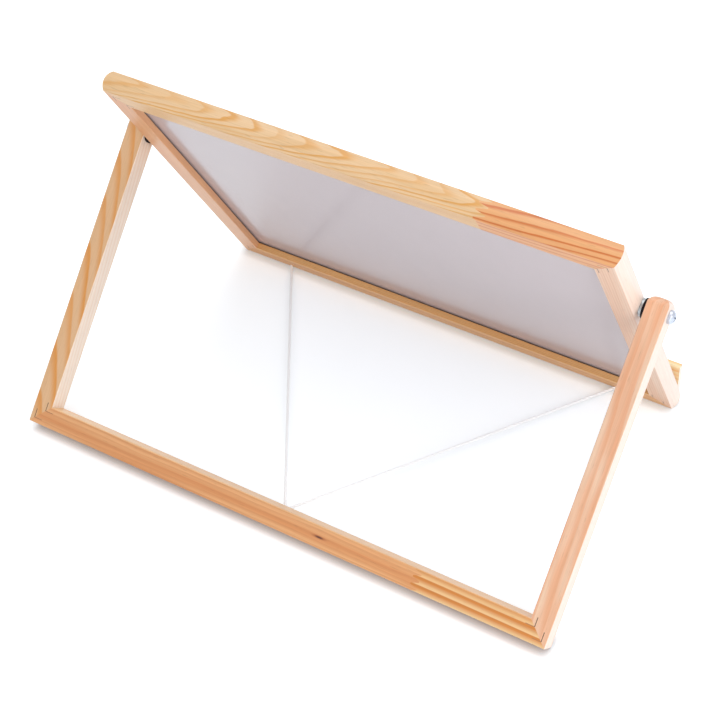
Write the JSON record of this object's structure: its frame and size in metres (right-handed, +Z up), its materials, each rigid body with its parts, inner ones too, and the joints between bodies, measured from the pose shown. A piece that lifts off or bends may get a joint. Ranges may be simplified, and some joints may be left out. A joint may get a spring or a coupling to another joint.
{
  "type": "desktop magnetic whiteboard easel",
  "caption": "Wood-framed magnetic writing board with a slanted marker ledge, held up by a hinged U-shaped wooden stand that a tied cord stops when it is open.",
  "frame": {"origin": "on the table, under the middle of the open easel", "axes": "+X to the right of someone who writes on the board, +Y from the writer towards the stand, +Z up"},
  "size_m": [0.455, 0.2863, 0.267],
  "materials": {
    "pale_timber": "planed and sanded, clear finish, pale yellow",
    "orange_timber": "planed and sanded, clear finish, orange with strong grain",
    "golden_timber": "planed and sanded, clear finish, golden brown",
    "tan_timber": "planed and sanded, clear finish, tan with amber streaks",
    "pink_timber": "planed and sanded, clear finish, pinkish",
    "striped_timber": "planed and sanded, clear finish, yellow with amber stripes",
    "writing_steel": "gloss white dry-wipe paint on thin steel",
    "panel_core": "raw fibre board",
    "back_laminate": "gloss white laminate",
    "screw_steel": "bright zinc-plated steel",
    "washer_steel": "zinc-plated steel",
    "dark_steel": "dark steel wire and strip",
    "black_rubber": "matt black rubber",
    "white_cord": "white twisted cord"
  },
  "bodies": {
    "board": {"board_top_rail_left": "orange_timber", "board_top_rail_right": "pale_timber", "board_bottom_rail": "golden_timber", "board_left_stile": "tan_timber", "board_right_stile": "tan_timber", "writing_sheet": "writing_steel", "panel_core": "panel_core", "back_sheet": "back_laminate", "marker_ledge": "golden_timber", "board_v_nails": "dark_steel", "left_pivot_screw": "screw_steel", "right_pivot_screw": "screw_steel", "left_steel_washer": "washer_steel", "right_steel_washer": "washer_steel", "board_cord_staples": "dark_steel", "spread_cord": "white_cord"},
    "stand": {"stand_left_leg": "pink_timber", "stand_right_leg": "tan_timber", "stand_rail_left": "striped_timber", "stand_rail_right": "orange_timber", "stand_v_nails": "dark_steel", "left_rubber_washer": "black_rubber", "right_rubber_washer": "black_rubber", "stand_cord_staple": "dark_steel"}
  },
  "joints": [
    {"name": "stand_fold", "type": "hinge", "parent": "board", "child": "stand", "pos_m": [0, -0.02341, 0.1857], "axis": [1, 0, 0], "range_deg": [-73.4, 0], "deforming": ["spread_cord"]}
  ]
}
